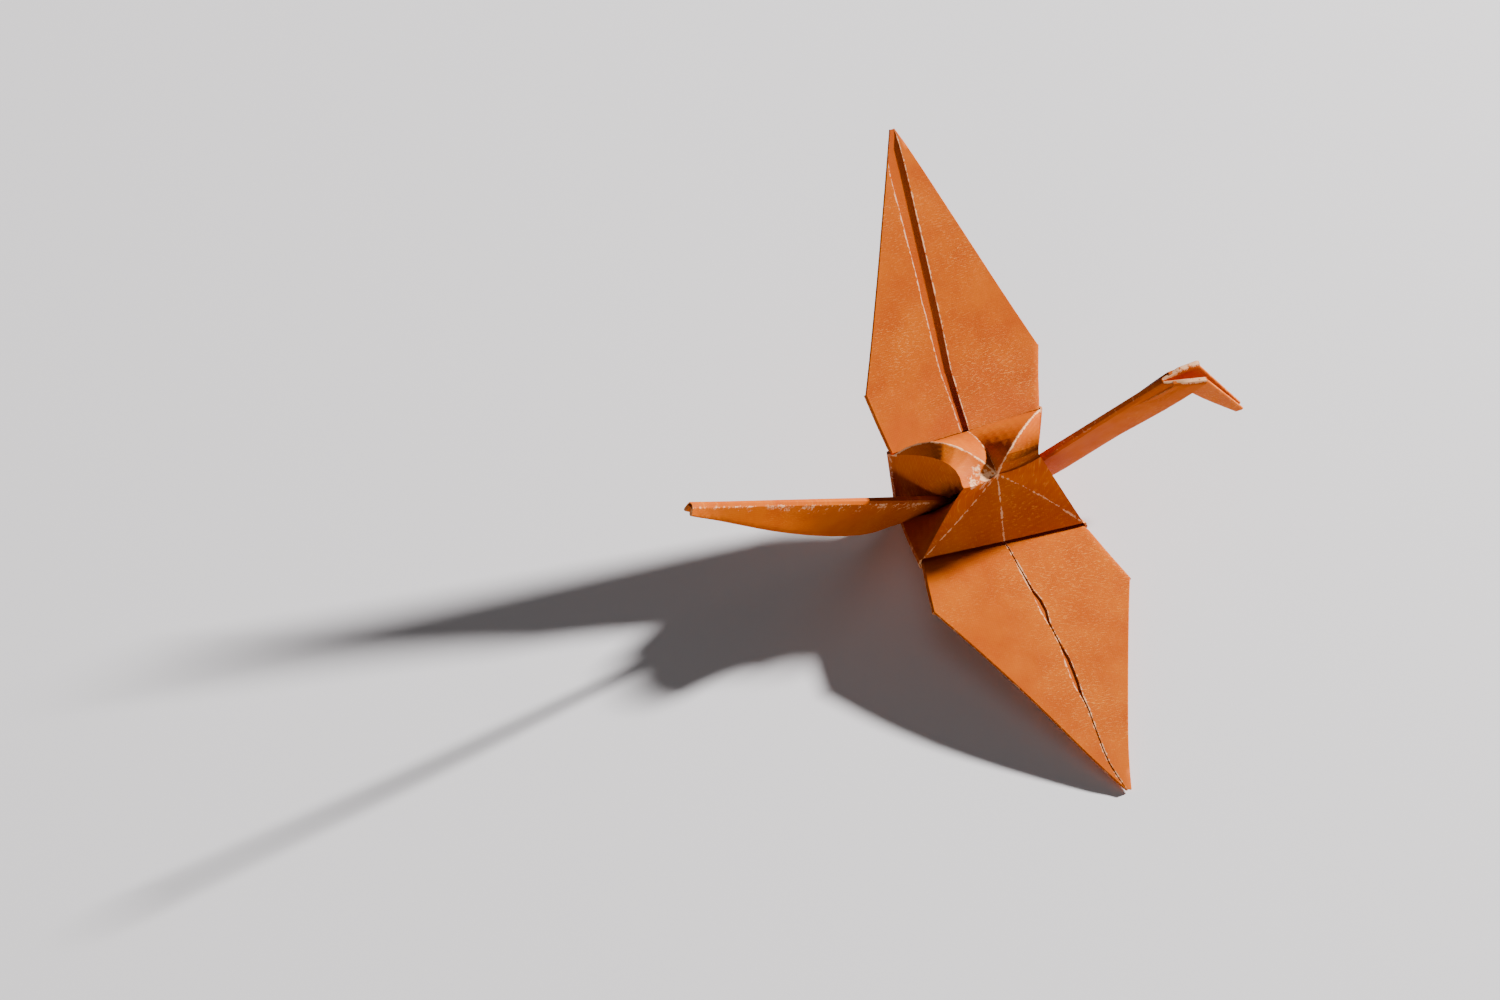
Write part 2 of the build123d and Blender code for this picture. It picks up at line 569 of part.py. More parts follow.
def thicken(points, faces, thickness):
    """Offset the middle surface to both sides and close it along the sheet's cut edges."""
    p = [points[faces[:, j]] for j in range(3)]
    fn = np.cross(p[1] - p[0], p[2] - p[0])
    fn /= np.maximum(np.linalg.norm(fn, axis=1, keepdims=True), 1e-12)
    normal = np.zeros_like(points)
    for j in range(3):
        u = p[(j + 1) % 3] - p[j]
        w = p[(j + 2) % 3] - p[j]
        u = u / np.maximum(np.linalg.norm(u, axis=1, keepdims=True), 1e-12)
        w = w / np.maximum(np.linalg.norm(w, axis=1, keepdims=True), 1e-12)
        angle = np.arccos(np.clip((u * w).sum(1), -1, 1))
        np.add.at(normal, faces[:, j], fn * angle[:, None])
    normal /= np.maximum(np.linalg.norm(normal, axis=1, keepdims=True), 1e-12)
    lean = np.ones(len(points))
    for j in range(3):
        np.minimum.at(lean, faces[:, j], (normal[faces[:, j]] * fn).sum(1))
    offset = normal * (thickness / 2 / np.clip(lean, 0.72, 1))[:, None]
    n = len(points)
    use = Counter(tuple(sorted((int(f[j]), int(f[(j + 1) % 3])))) for f in faces for j in range(3))
    out = [tuple(int(i) for i in f) for f in faces]
    out += [tuple(int(i) + n for i in f[::-1]) for f in faces]
    for f in faces:
        for j in range(3):
            a, b = int(f[j]), int(f[(j + 1) % 3])
            if use[tuple(sorted((a, b)))] == 1:
                out += [(b, a, a + n), (b, a + n, b + n)]
    return np.vstack([points + offset, points - offset]), out


sheet_points, sheet_faces = folded_sheet()
sheet_points = seat(np.array(sheet_points))
sheet_faces = wind_alike(sheet_faces)
skin_points, skin_faces = thicken(sheet_points, sheet_faces, THICK)

# The origin is the bottom centre of the crane's box, and the crane stands on z = 0.
low, high = skin_points.min(0), skin_points.max(0)
skin_points = skin_points - np.array([(low[0] + high[0]) / 2, (low[1] + high[1]) / 2, low[2]])

corners = [Vector(*map(float, q)) for q in skin_points]
faces = [Face(Wire.make_polygon([corners[i] for i in f], close=True)) for f in skin_faces]
crane = Solid(Shell(faces))
if crane.volume < 0:
    crane = Solid(Shell([-f for f in faces]))
crane.label = "origami_crane"
print("faces", len(faces), "size", high - low)
print("shift", -(low[0] + high[0]) / 2, -(low[1] + high[1]) / 2, -low[2])
print("volume", crane.volume, "valid", crane.is_valid, "sheet area", crane.volume / THICK)

os.makedirs("parts", exist_ok=True)
export_step(crane, "parts/origami_crane.step")
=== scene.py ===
import json
import math
from collections import Counter, defaultdict, deque

import bpy
import numpy as np
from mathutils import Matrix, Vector

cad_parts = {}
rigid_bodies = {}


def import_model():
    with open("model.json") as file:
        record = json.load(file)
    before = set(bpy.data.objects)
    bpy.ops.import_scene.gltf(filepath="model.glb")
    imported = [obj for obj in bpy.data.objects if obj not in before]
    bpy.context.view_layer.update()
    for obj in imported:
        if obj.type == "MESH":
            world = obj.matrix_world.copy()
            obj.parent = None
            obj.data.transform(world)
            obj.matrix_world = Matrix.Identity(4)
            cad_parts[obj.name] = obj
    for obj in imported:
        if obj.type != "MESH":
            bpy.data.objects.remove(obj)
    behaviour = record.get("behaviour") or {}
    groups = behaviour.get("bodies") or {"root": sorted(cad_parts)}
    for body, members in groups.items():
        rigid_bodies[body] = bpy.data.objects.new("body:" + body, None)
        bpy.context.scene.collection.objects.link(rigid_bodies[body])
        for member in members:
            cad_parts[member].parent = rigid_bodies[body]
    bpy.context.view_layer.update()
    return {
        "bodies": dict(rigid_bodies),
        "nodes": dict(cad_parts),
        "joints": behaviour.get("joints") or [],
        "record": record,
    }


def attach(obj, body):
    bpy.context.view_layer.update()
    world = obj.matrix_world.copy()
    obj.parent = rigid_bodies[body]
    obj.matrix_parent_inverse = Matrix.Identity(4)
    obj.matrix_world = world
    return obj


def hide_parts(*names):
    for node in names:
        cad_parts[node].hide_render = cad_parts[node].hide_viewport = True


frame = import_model()

# ---------------------------------------------------------------------------
# Geometry of the folded sheet, millimetres; same frame as the solid before it is moved to its origin
# ---------------------------------------------------------------------------
THICK = 0.08
SINK = 1.2
G = 0.11
LOOSE = 0.176
WALL_GAP = 0.45
HALF = 37.5
SLOPE = 0.19891
YR, YJ, YM, YK, YF, YE = -0.076 * HALF, 0.0, 0.090 * HALF, 0.1796 * HALF, 0.2653 * HALF, 0.35116 * HALF
YN = YK + 0.9
HUMP_TOP = (0.62, 0.45, 10.9)
TAIL_ROOT, NECK_ROOT = (-0.9, 5.2, 3.1), (1.4, 5.2, 2.7)
TAIL_TIP, HEAD_TOP, BEAK_TIP = (-32.6, -2.3, 21.6), (18.75, 1.53, 16.6), (29.35, 3.9, 6.5)
WING_ROWS = [14.5, 16.0, 17.5, 19.0, 20.5, 22.0, 23.5, 25.0, 26.5, 28.0, 29.5, 31.0, 32.5, 34.0, 35.3, 36.4, 37.0]

FAN = 8
TAIL_ROWS = [0.3, 1.5, 3, 4.5, 6, 8, 10, 12.5, 15, 17.5, 20, 22.5, 25, 27.5, 30, 32.5]
BEAK_ROWS = [0.06, 0.2, 0.36, 0.52, 0.68, 0.84, 1.0]
NECK_ROWS = [0.0, 0.06, 0.14, 0.23, 0.33, 0.44, 0.56, 0.68, 0.8, 0.9, 1.0]
BEND_AT = [YK, YK + 0.9, 9.0, 11.0, YE, 15.5, 17.5, 19.5, 23.0, 26.0, 29.0, 32.0, 35.0, HALF]
BOW = {"n": [0.0, -0.26, -0.34, -0.42, -0.54, -0.70, -0.82, -0.90, -0.94, -0.85, -0.68, -0.45, -0.20, 0.0],
       "f": [0.0, 0.10, 0.34, 0.56, 0.68, 0.68, 0.60, 0.48, 0.30, 0.14, 0.04, -0.02, -0.02, 0.0]}
DRIFT = {"n": [0.0, -0.05, -0.12, -0.18, -0.20, -0.20, -0.20, -0.20, -0.20, -0.20, -0.22, -0.24, -0.16, 0.0],
         "f": [0.0, 0.02, 0.06, 0.12, 0.20, 0.24, 0.24, 0.22, 0.20, 0.16, 0.12, 0.10, 0.06, 0.0]}
LEAN = {"n": (0.0, 0.020, -0.105), "f": (-0.02, 0.150, -0.137)}
CORNER = {"n": (0.55, 1.35), "f": (0.45, 0.0)}
REACH = {"n": 0.0, "f": 1.1}

SEAM = {
    "n": dict(
        yl=[0, 4, 6.7, 8.8, 11, 12.7, 13.2, 14.5, 16.0, 17.5, 19.0, 20.5, 22, 23.5, 25.0, 26.0, 26.5, 28, 31, 33.5, 37],
        xl=[.25, .3, .1, .33, .28, .3, .3, .24, .17, .2, .3, .2, .0, -.2, -.32, -.3, -.2, -.1, -.36, -.62, -.3],
        yr=[0, 4, 6.7, 8.8, 11, 12.7, 13.2, 14.5, 16.0, 17.5, 19.0, 20.5, 22, 23.5, 25, 26.5, 28, 29.5, 31, 32.5, 33.5, 37],
        xr=[.30, .36, .16, .39, .34, .38, .55, .80, .78, .45, .36, .42, .52, .40, .25, .0, -.02, -.18, -.28, -.42, -.54, -.2],
        hl=0.07, hr=0.13),
    "f": dict(
        yl=[0, 4, 6.9, 9.7, 11.4, 13.3, 16.6, 18.7, 20.8, 22.4, 25.8, 29.4, 31.2, 32.75, 37],
        xl=[-.4, -.5, -.58, -.76, -1.05, -1.25, -1.38, -1.35, -1.5, -1.38, -1.5, -1.52, -1.58, -1.6, -1.6],
        yr=[0, 6, 8.9, 11, 13, 15, 17, 19, 22, 25, 29, 33, 37],
        xr=[.3, .30, .24, .06, -.05, -.03, .06, .1, .12, .14, .2, .28, .26],
        hl=0.12, hr=0.24),
}


def unit(v):
    v = np.array(v, float)
    return v / np.linalg.norm(v)


def lerp(a, b, t):
    return np.array(a, float) + (np.array(b, float) - np.array(a, float)) * t


def smooth(t):
    t = min(max(t, 0.0), 1.0)
    return t * t * (3 - 2 * t)


def narrow_x(y):
    return SLOPE * (y + HALF)


def wing_x(y):
    return 0.41421 * (HALF - y)


class Web:
    """Middle surface of the sheet, with flat coordinates, wear, painted gap shade and labels on its vertices."""

    def __init__(self):
        self.v, self.at, self.lab, self.f, self.tag = [], [], [], [], []

    def add(self, p, uv=None, wear=0.0, painted_gap_shade=0.0, lab=None):
        p = np.array(p, float)
        self.v.append(p)
        self.at.append(np.array([p[0] if uv is None else uv[0], p[1] if uv is None else uv[1], wear, painted_gap_shade], float))
        self.lab.append(lab)
        return len(self.v) - 1

    def tri(self, a, b, c, tag="hid"):
        if len({a, b, c}) == 3:
            self.f.append((a, b, c))
            self.tag.append(tag)

    def quad(self, a, b, c, d, tag="hid"):
        self.tri(a, b, c, tag)
        self.tri(a, c, d, tag)

    def grid(self, rows, tag="hid"):
        for r0, r1 in zip(rows[:-1], rows[1:]):
            for j in range(len(r0) - 1):
                self.quad(r0[j], r1[j], r1[j + 1], r0[j + 1], tag)

    def zipper(self, a, b, tag="hid"):
        """Triangles between two lines of any number of points."""
        i = j = 0
        na, nb = len(a) - 1, len(b) - 1
        while i < na or j < nb:
            if j == nb or (i < na and (i + 1) / na <= (j + 1) / nb):
                self.tri(a[i], a[i + 1], b[j], tag)
                i += 1
            else:
                self.tri(a[i], b[j + 1], b[j], tag)
                j += 1

    def split(self, a, b, v):
        f2, t2 = [], []
        for f, t in zip(self.f, self.tag):
            for i in range(3):
                if {f[i], f[(i + 1) % 3]} == {a, b}:
                    f2 += [(f[i], v, f[(i + 2) % 3]), (v, f[(i + 1) % 3], f[(i + 2) % 3])]
                    t2 += [t, t]
                    break
            else:
                f2.append(f)
                t2.append(t)
        self.f, self.tag = f2, t2

    def strip(self, la, lb, outs, n=4, tag="fold", wear=0.0):
        rows = [list(la)]
        for k in range(1, n):
            th = np.pi * k / n
            row = []
            for a, b, o in zip(la, lb, outs):
                p = self.v[a] + (self.v[b] - self.v[a]) * (1 - np.cos(th)) / 2 + np.array(o) * np.sin(th)
                at = self.at[a] + (self.at[b] - self.at[a]) * k / n
                i = self.add(p, at[:2], wear, 0.0, self.lab[a] if self.lab[a] is not None else self.lab[b])
                row.append(i)
            rows.append(row)
        rows.append(list(lb))
        self.grid(rows, tag)
        return rows


class Plate:
    """One side of the body: hinge line, wall, and the wing beyond the wing fold."""

    def __init__(self, key, o, ex, ey, ew, outward):
        self.key = key
        self.o = np.array(o, float)
        self.ex = unit(ex)
        ey = np.array(ey, float)
        self.ey = unit(ey - self.ex * (ey @ self.ex))
        ew = np.array(ew, float)
        self.ew = unit(ew - self.ex * (ew @ self.ex))
        n = np.cross(self.ex, self.ey)
        self.n = n if n @ np.array(outward) > 0 else -n
        c = self.ey @ self.ew
        sn = np.cross(self.ey, self.ew) @ self.ex
        self.nw = unit(self.n * c + np.cross(self.ex, self.n) * sn)
        b = unit(self.n + self.nw)
        self.bis = b / (b @ self.n)

    def at(self, x, y, z, outer=True):
        k = min(max(y / YK, 0), 1)
        if outer:
            z = z + WALL_GAP * k
        base = self.o + x * self.ex + x * k * np.array(LEAN[self.key])
        if outer and abs(y - YK) < 1e-9:
            return base + YK * self.ey + z * self.bis
        if y < YK or not outer:
            return base + y * self.ey + z * self.n
        base = base + np.interp(y, BEND_AT, DRIFT[self.key]) * self.ex
        c = min(max(x / 10.08, 0), 1) * np.interp(y, [YK, YE, HALF], [0, 1, 0])
        base = base + c * (CORNER[self.key][0] * self.ex + CORNER[self.key][1] * self.ew)
        base = base + REACH[self.key] * smooth((y - YE) / (HALF - YE)) * self.ew
        return base + YK * self.ey + (y - YK) * self.ew + (z + np.interp(y, BEND_AT, BOW[self.key])) * self.nw

    def put(self, m, x, y, z, outer=True, wear=0.0, painted_gap_shade=0.0):
        lab = (self.key, x, y) if outer and y > YK - 1e-6 else None
        return m.add(self.at(x, y, z, outer), (x, y), wear, painted_gap_shade, lab)


def folded_sheet():
    m = Web()
    near = Plate("n", (0.52, 3.78, 1.86), (1, 0, 0), (0, -0.930, 0.367), (0.009, -0.993, -0.112), (0, -0.3, -0.9))
    far = Plate("f", (0.90, 7.39, 2.65), (1, 0.01, 0), (0, 0.105, 0.994), (-0.010, 0.682, 0.731), (0, 1, 0))
    plates = dict(n=near, f=far)
    O = np.array(HUMP_TOP)
    ridge_mid = dict(tf=(-3.72, 4.17, 13.3), nf=(3.79, 2.82, 12.9), nn=(4.96, -1.03, 7.65), tn=(-3.84, -1.03, 7.65))
    vmid = dict(f=(0.7, 4.0, 11.3), n=(0.6, -1.03, 7.65))
    V = dict(t=np.array((-3.77, -1.1, 12.3)), n=np.array((4.74, -0.2, 12.7)))
    rim_mid = dict(tf=(-4.6, 2.2, 12.9), tn=(-5.3, -1.2, 8.9), nf=(6.1, 2.9, 12.3), nn=(7.05, -1.2, 7.9))
    Q = dict(t=np.array(TAIL_ROOT), n=np.array(NECK_ROOT))
    tip = dict(t=np.array(TAIL_TIP), n=np.array(HEAD_TOP))
    B = np.array(BEAK_TIP)
    view = unit((-.305, -.595, .744))
    sx = dict(t=-1, n=1)
    L = {}
    # legs: tail and neck
    legs = {}
    for l in "tn":
        R = (near.at(sx[l] * narrow_x(YR), YR, 0, False) + far.at(sx[l] * narrow_x(YR), YR, 0, False)) / 2
        legs[l] = dict(R=R, dir=unit(tip[l] - Q[l]))
    DR = HALF + YR
    WR = narrow_x(YR)

    def wmax(d):
        return SLOPE * d + 0.55 * (1 - d / DR)

    def frame(l, d):
        di = legs[l]["dir"]
        sp = Q[l] + (HALF - d) * di
        ewr = legs[l]["R"] - (Q[l] + (HALF - DR) * di)
        ewr = unit(ewr - di * (ewr @ di))
        ez = np.cross(di, ewr)
        if ez[1] > 0:
            ez = -ez
        if l == "t":
            tau = np.radians(36) * min(1, max(0, (DR - d) / 24.0))

            def rot(v, a):
                return v * np.cos(a) + np.cross(di, v) * np.sin(a) + di * (di @ v) * (1 - np.cos(a))
            a = tau if (rot(ez, 0.1) @ view) > (ez @ view) else -tau
            return sp, rot(ewr, a), rot(ez, a)
        evv = unit(B - tip["n"])
        evv = unit(evv - di * (evv @ di))
        t = smooth((DR - d) / 20.0)
        ew = unit(lerp(ewr, evv, t))
        ew = unit(ew - di * (ew @ di))
        ez = np.cross(di, ew)
        if ez[1] > 0:
            ez = -ez
        return sp, ew, ez

    # the head: the end of the neck is turned back through a slanting crease between the neck's two sides
    DH = HALF - np.linalg.norm(tip["n"] - Q["n"])
    dn_ = legs["n"]["dir"]
    _, we, ze = frame("n", DH)
    bd = unit(B - tip["n"])
    crease = unit(dn_ + bd)
    out_c = unit(dn_ - crease * (dn_ @ crease))
    cot = (dn_ @ crease) / (we @ crease)
    wa, wb = 0.55, SLOPE - 0.55 / DR
    LAY = ("G1", "G4", "F4", "F1")
    outer_z = dict(G1=3.5 * G, G4=2.5 * G, F4=1.5 * G, F1=0.5 * G)
    inner_z = dict(G1=0.5 * G, G4=1.5 * G, F4=2.5 * G, F1=3.5 * G)

    def straight(l, d, w, z):
        sp, ew, ez = frame(l, d)
        return sp + w * ew + z * ez

    def neck_row(kind, d0, lay, sg):
        """kind: beak, turn (part of the crease fold) or neck."""
        f = 0.3 + 0.7 * d0 / DH if d0 <= DH else max(0.0, 1 - (d0 - DH) / 7)
        w1 = (wa + wb * d0) / (1 + wb * cot * f)
        wi = 0.0 if lay == "G1" else min(0.12 + 0.38 * smooth(1 - abs(d0 - DH) / 9), 0.4 * w1)
        row = []
        for w in (w1, (w1 + wi) / 2, wi):
            d = d0 - w * cot * f
            if kind != "beak":
                a = smooth(1 - (d0 - DH) / 9)
                zn = outer_z[lay] + a * (4.2 * G * min(1.0, w / 0.5) + 0.50 * w / w1)
                pn = straight("n", d, w, sg * zn)
            if kind != "neck":
                zb = inner_z[lay] + 0.60 * w / w1 * (0.15 + 0.85 * d0 / DH)
                v = (DH - d) * dn_ + w * we
                v = 2 * (v @ crease) * crease - v
                pb = tip["n"] + v + sg * zb * ze
            if kind == "beak":
                row.append((pb, (d, w)))
            elif kind == "neck":
                row.append((pn, (d, w)))
            else:
                th = kind * np.pi
                bulge = 0.5 * np.linalg.norm(pn - pb) * min(1.0, 0.25 + w)
                row.append((lerp(pb, pn, (1 - np.cos(th)) / 2) + out_c * bulge * np.sin(th), (d, w)))
        return row

    win = 0.12
    rows_t = TAIL_ROWS
    rows_n = ([("beak", k * DH) for k in BEAK_ROWS] + [(1 / 3, DH), (2 / 3, DH)] +
              [("neck", DH + (32.6 - DH) * k) for k in NECK_ROWS])
    for l in "tn":
        for s in "nf":
            sg = 1 if s == "n" else -1
            for lay in LAY:
                wi = 0.0 if lay == "G1" else win
                rows = []
                if l == "t":
                    for d in rows_t:
                        w1 = SLOPE * d + 0.55 * (1 - d / DR)
                        lip = 0.20 * smooth(1 - (d - 0.3) / 4.5) if d < 5 else 0.0
                        wr_ = 0.30 if lay == "G1" and s == "n" else 0.0
                        rows.append([m.add(straight(l, d, w, sg * (outer_z[lay] + lip * w / w1)), (d, w), wr_ * (w == wi))
                                     for w in (w1, (w1 + wi) / 2, wi)])
                else:
                    for kind, d0 in rows_n:
                        wr_ = 0.55 if kind in (1 / 3, 2 / 3) and lay == "G1" else 0.0
                        rows.append([m.add(p_, uv_, wr_) for p_, uv_ in neck_row(kind, d0, lay, sg)])
                rows.append([m.add(straight(l, d, w, sg * outer_z[lay]), (d, w)) for d, w in
                             ((DR, WR), ((DR + HALF) / 2, (WR + wi) / 2), (HALF - 0.05, wi))])
                L["leg", l, s, lay] = rows
                m.grid(rows, "leg" if lay == "G1" else "hid")
    for l in "tn":
        for s in "nf":
            g1, g4, f4, f1 = (L["leg", l, s, k] for k in ("G1", "G4", "F4", "F1"))
            outs = [unit(m.v[r[0]] - m.v[r[2]]) for r in g1]
            if l == "n":
                outs = [unit(o - ze * (o @ ze)) if i < len(BEAK_ROWS) + 5 else o for i, o in enumerate(outs)]
            m.strip([r[0] for r in g1], [r[0] for r in f1], [o * 1.5 * G for o in outs], 4, "fold", 0.18)
            m.strip([r[0] for r in g4], [r[0] for r in f4], [o * 0.5 * G for o in outs], 4, "hid")
            m.strip([r[2] for r in f1], [r[2] for r in f4], [-o * 0.5 * G for o in outs], 4, "hid")
            L["out", l, s] = outs
        gn, gf = L["leg", l, "n", "G1"], L["leg", l, "f", "G1"]
        deep = [0.30] * len(gn) if l == "t" else [0.08] * len(BEAK_ROWS) + [0.15, 0.22] + [0.30] * (len(gn) - len(BEAK_ROWS) - 2)
        L["spine", l] = m.strip([r[2] for r in gn], [r[2] for r in gf], [-o * e for o, e in zip(L["out", l, "n"], deep)], 3,
                                "fold", 0.0 if l == "t" else 0.2)
    # body sides and wings
    z = dict(G1=0, G2=G, G3=2 * G, G4=3 * G, F4=4 * G, F3=5 * G, F2=5 * G + LOOSE, F1=5 * G + 2 * LOOSE)
    Ip = (0.30, 0.0824 * HALF)
    Ex, Ey = 0.26876 * HALF, YE

    def flap_edge(t):
        return (Ip[0] + (Ex - Ip[0]) * t, Ip[1] + (Ey - Ip[1]) * t)

    te = (YK - Ip[1]) / (Ey - Ip[1])
    e_low, e_mid, e_up = flap_edge(te), flap_edge(te / 2), flap_edge((1 + te) / 2)
    e_near = flap_edge(te + 0.09)
    ys = [YR, YJ, YM, YK, YN, YF, YE]
    for s in "nf":
        p = plates[s]
        sm = SEAM[s]

        def columns(y, w):
            xl, xr = np.interp(y, sm["yl"], sm["xl"]), np.interp(y, sm["yr"], sm["xr"])
            if xr - xl < 0.09:
                c = (xl + xr) / 2
                xl, xr = c - 0.045, c + 0.045
            k = smooth((y - YM) / (YK - YM))
            xs = [xl - 0.22, xl - 0.02, xl + 0.02, xr - 0.02, xr + 0.02, xr + 0.22]
            hs = [sm["hl"] * k, sm["hl"] * k, 0.0, 0.0, sm["hr"] * k, sm["hr"] * k]
            e = 0.97 * w
            xs = [min(max(x, -e + 0.02 * i * w / 6), e - 0.02 * (5 - i) * w / 6) for i, x in enumerate(xs)]
            fade = smooth((w - 0.15) / 0.9)
            hs = [h * fade for h in hs]
            left_open = -e < xl - 0.25
            hl = hs[0] if left_open else 0.0
            hs[0] = hs[1] = hl
            return [-w] + xs + [w], [hl] + hs + [hs[-1]]

        Kt = m.add(p.at(-narrow_x(YK), YK, 0.5 * G, False))
        Kn = m.add(p.at(narrow_x(YK), YK, 0.5 * G, False))
        L["K", "t", s], L["K", "n", s] = Kt, Kn
        wall = []
        for y in (YJ, YM):
            xs, _ = columns(y, narrow_x(y))
            wall.append([p.put(m, x, y, G, False) for x in xs])
        mid = m.add(p.at(0, YK, G, False))
        L["m", s] = mid
        m.grid(wall, "wall")
        L["wall", s] = wall
        top = []
        for y in (YJ, YM, YK, YN, YF, YE):
            xs, hs = columns(y, narrow_x(y))
            wr = [0, 0, 1, 0, 0, 1, 0, 0]
            # the two middle columns, in the gap between the seams, are marked for painted shade
            gap_shade_columns = [0, 0, 0, 1, 1, 0, 0, 0]
            top.append([p.put(m, x, y, z["G3"] - h, True, a * (0.42 if s == "n" else 0.5), b) for x, h, a, b in zip(xs, hs, wr, gap_shade_columns)])
        for y in WING_ROWS:
            xs, hs = columns(y, wing_x(y))
            top.append([p.put(m, x, y, z["G3"] - h, True, a * (0.42 if s == "n" else 0.5), b) for x, h, a, b in zip(xs, hs, wr, gap_shade_columns)])
        m.grid(top, "wing")
        m.strip(wall[0], top[0], [-p.ey * 0.06] * 8, 4, "hid")
        for l in "tn":
            q = sx[l]
            wl = 0 if l == "t" else 7
            g4 = []
            for y, yi in zip([YR + 0.15] + ys[1:], (-0.022 * HALF, 0, YM, YK, YN, YF, YE)):
                g4.append([p.put(m, q * narrow_x(y), y, z["G4"]), p.put(m, q * 0.12, yi, z["G4"])])
            for y in WING_ROWS:
                g4.append([p.put(m, q * wing_x(y), y, z["G4"]), p.put(m, q * min(0.12, 0.5 * wing_x(y)), y, z["G4"])])
            m.grid(g4, "under")

            def row(lay, pts):
                return [p.put(m, q * x, y, z[lay]) for x, y in pts]
            f4 = [row("F4", [(narrow_x(YR), YR), (Ip[0], -0.036 * HALF)]), row("F4", [(narrow_x(YJ), YJ), Ip]),
                  row("F4", [(narrow_x(YM), YM), e_mid]), row("F4", [(narrow_x(YK), YK), e_low]),
                  row("F4", [(narrow_x(YN), YN), e_near]), row("F4", [(narrow_x(YF), YF), e_up])]
            e4 = p.put(m, q * Ex, Ey, z["F4"])
            f4.append([e4, e4])
            m.grid(f4, "under")
            f3 = [row("F3", [(narrow_x(YJ), YJ), Ip]), row("F3", [(narrow_x(YM), YM), e_mid]),
                  row("F3", [(narrow_x(YK), YK), e_low]),
                  row("F3", [(narrow_x(YN), YN), e_near]), row("F3", [(narrow_x(YF), YF), e_up])]
            e3 = p.put(m, q * Ex, Ey, z["F3"])
            f3.append([e3, e3])
            m.grid(f3, "under")
            f2 = row("F2", [(narrow_x(YJ), YJ), (narrow_x(YM), YM), (narrow_x(YK), YK)])
            f2i = p.put(m, q * Ip[0], Ip[1], z["F2"])
            m.tri(f2[0], f2[1], f2i, "under")
            m.tri(f2[1], f2[2], f2i, "under")
            f1 = [row("F1", [(narrow_x(YR), YR - 0.25), (Ip[0], -0.055 * HALF)])]
            f1c = row("F1", [(narrow_x(YJ), YJ), (narrow_x(YM), YM), (narrow_x(YK), YK)])
            f1i = p.put(m, q * Ip[0], Ip[1], z["F1"])
            f1.append([f1c[0], f1i])
            m.grid(f1, "under")
            m.tri(f1c[0], f1c[1], f1i, "under")
            m.tri(f1c[1], f1c[2], f1i, "under")
            g1c = [m.add(p.at(q * narrow_x(y), y, 0, False)) for y in (YR, YJ, YM)] + [L["K", l, s]]
            L["g1c", l, s] = g1c
            m.strip([r[0] for r in g4[:7]], [r[0] for r in f4[:7]], [q * p.ex * 0.055] * 7, 4, "hid")
            m.strip([r[wl] for r in top[:6]], [r[0] for r in f3], [q * p.ex * 0.19] * 6, 4, "fold", 0.2)
            m.strip([wall[0][wl], wall[1][wl], L["K", l, s]], f2, [q * p.ex * 0.34] * 3, 4, "fold", 0.2)
            m.strip(g1c, [f1[0][0]] + f1c, [q * p.ex * 0.52] * 4, 4, "fold", 0.25)
            en = unit(q * p.ex + p.ew * 0.41421)
            m.strip([r[wl] for r in top[5:]], [r[0] for r in g4[6:]], [en * 0.055] * (len(WING_ROWS) + 1), 4, "fold", 0.2)
            et, et2 = unit(-q * p.ex * 0.66 + p.ey * 0.75), unit(-q * p.ex * 0.66 + p.ew * 0.75)
            m.strip([r[1] for r in f3], [r[1] for r in f4[1:]],
                    [et * 0.055, et * 0.055, unit(et + et2) * 0.055, et2 * 0.055, et2 * 0.055, et2 * 0.055], 4, "hid")
            m.strip([f2[0], f2i], [f3[0][0], f3[0][1]], [-p.ey * 0.055] * 2, 4, "hid")
            kn = unit(q * p.ex * 0.38 + p.ey * 0.92)
            m.strip([f1c[2], f1i], [f2[2], f2i], [kn * 0.055] * 2, 4, "hid")
            m.strip([f1[0][1], f1i], [f4[0][1], f4[1][1]], [-q * p.ex * 0.165] * 2, 4, "hid")
            L["line", l, s, "G4"] = [g4[0][0], g4[0][1]]
            L["line", l, s, "F4"] = [f4[0][0], f4[0][1]]
            L["line", l, s, "F1"] = [f1[0][0], f1[0][1]]
    # hump: a ring of ridges round a dimple
    ov = m.add(O)
    N = FAN

    def lag(a, b, c, t):
        a, b, c = (np.array(k, float) for k in (a, b, c))
        return a * (1 - t) * (1 - 2 * t) + b * 4 * t * (1 - t) + c * t * (2 * t - 1)

    def fan(ra, rb, edge, tag, given=None, puff=0.0):
        """Patch between two lines from the hump's middle, with its far edge on a curve."""
        prev = [ov]
        for i in range(1, N + 1):
            t = i / N
            a, b = ra[i - 1], rb[i - 1]
            cur = [a]
            for j in range(1, i):
                u = j / i
                e = edge(u) - lerp(m.v[ra[-1]], m.v[rb[-1]], u)
                p_ = lerp(m.v[a], m.v[b], u) + e * t * t + np.array((0, 0, puff)) * 4 * u * (1 - u) * t
                cur.append(m.add(p_))
            cur.append(b)
            for j in range(len(prev)):
                m.tri(prev[j], cur[j], cur[j + 1], tag)
                if j + 1 < len(prev):
                    m.tri(prev[j], cur[j + 1], prev[j + 1], tag)
            prev = cur
        return prev

